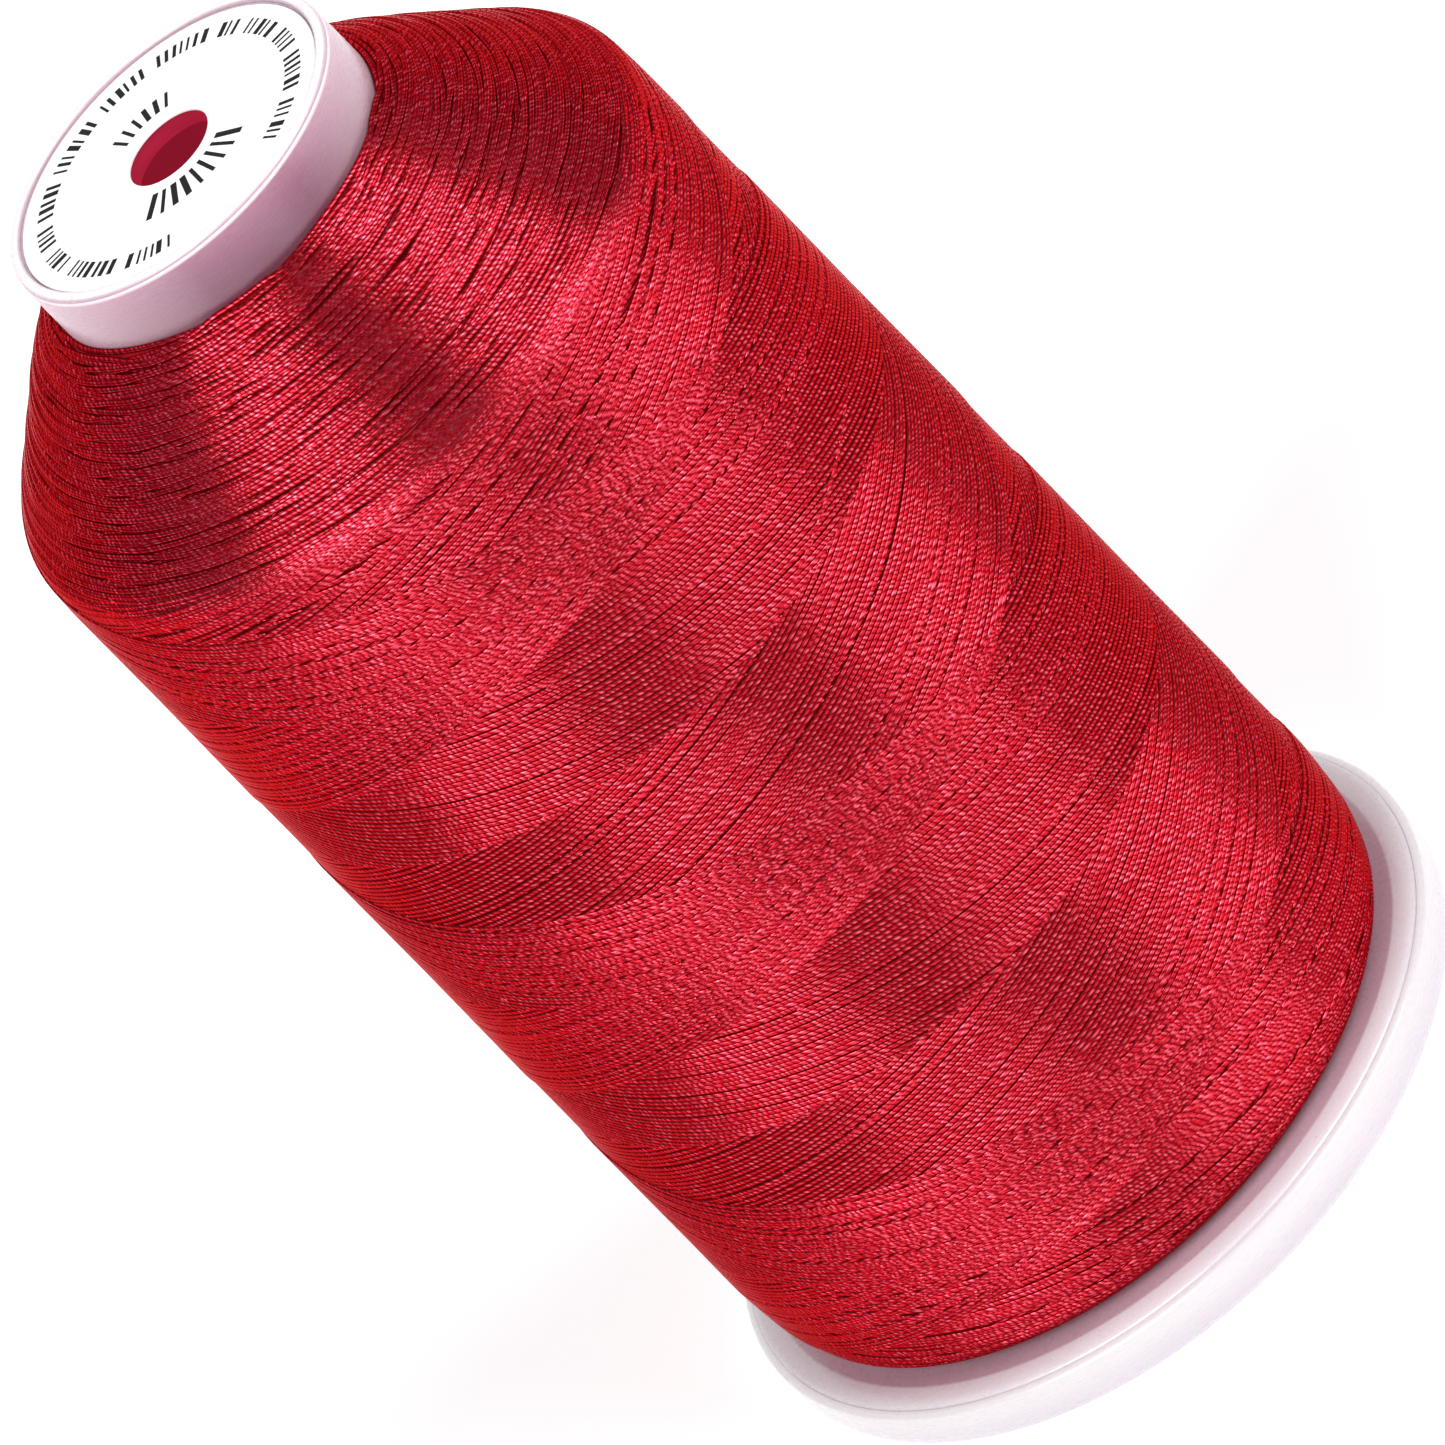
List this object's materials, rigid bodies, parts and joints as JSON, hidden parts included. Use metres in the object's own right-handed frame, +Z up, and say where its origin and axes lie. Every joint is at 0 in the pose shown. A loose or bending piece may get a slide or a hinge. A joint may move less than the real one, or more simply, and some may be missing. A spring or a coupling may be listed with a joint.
{
  "type": "spool of embroidery thread",
  "caption": "Tall spool of wound embroidery thread on a hollow translucent plastic core, with a snap base that grips the thread's tail and a round paper label on top.",
  "frame": {"origin": "centre of the foot ring, on the surface that the spool stands on", "axes": "+Z up along the spool's axis, from the foot to the collar's rim; +X to the right of the printed label, +Y towards the top of its printing"},
  "size_m": [0.0666, 0.0666, 0.12],
  "materials": {
    "core_plastic": "translucent white moulded plastic, satin",
    "base_plastic": "translucent white moulded plastic, satin",
    "thread": "bright trilobal polyester, two-ply, glossy crimson",
    "label_paper": "coated white paper with black print"
  },
  "bodies": {
    "spool": {"spool_core": "core_plastic", "thread_package": "thread", "top_label": "label_paper"},
    "base": {"snap_base": "base_plastic"}
  },
  "joints": [
    {"name": "snap_base_slide", "type": "slide", "parent": "spool", "child": "base", "axis": [0, 0, -1], "range_m": [0, 0.0025]}
  ]
}
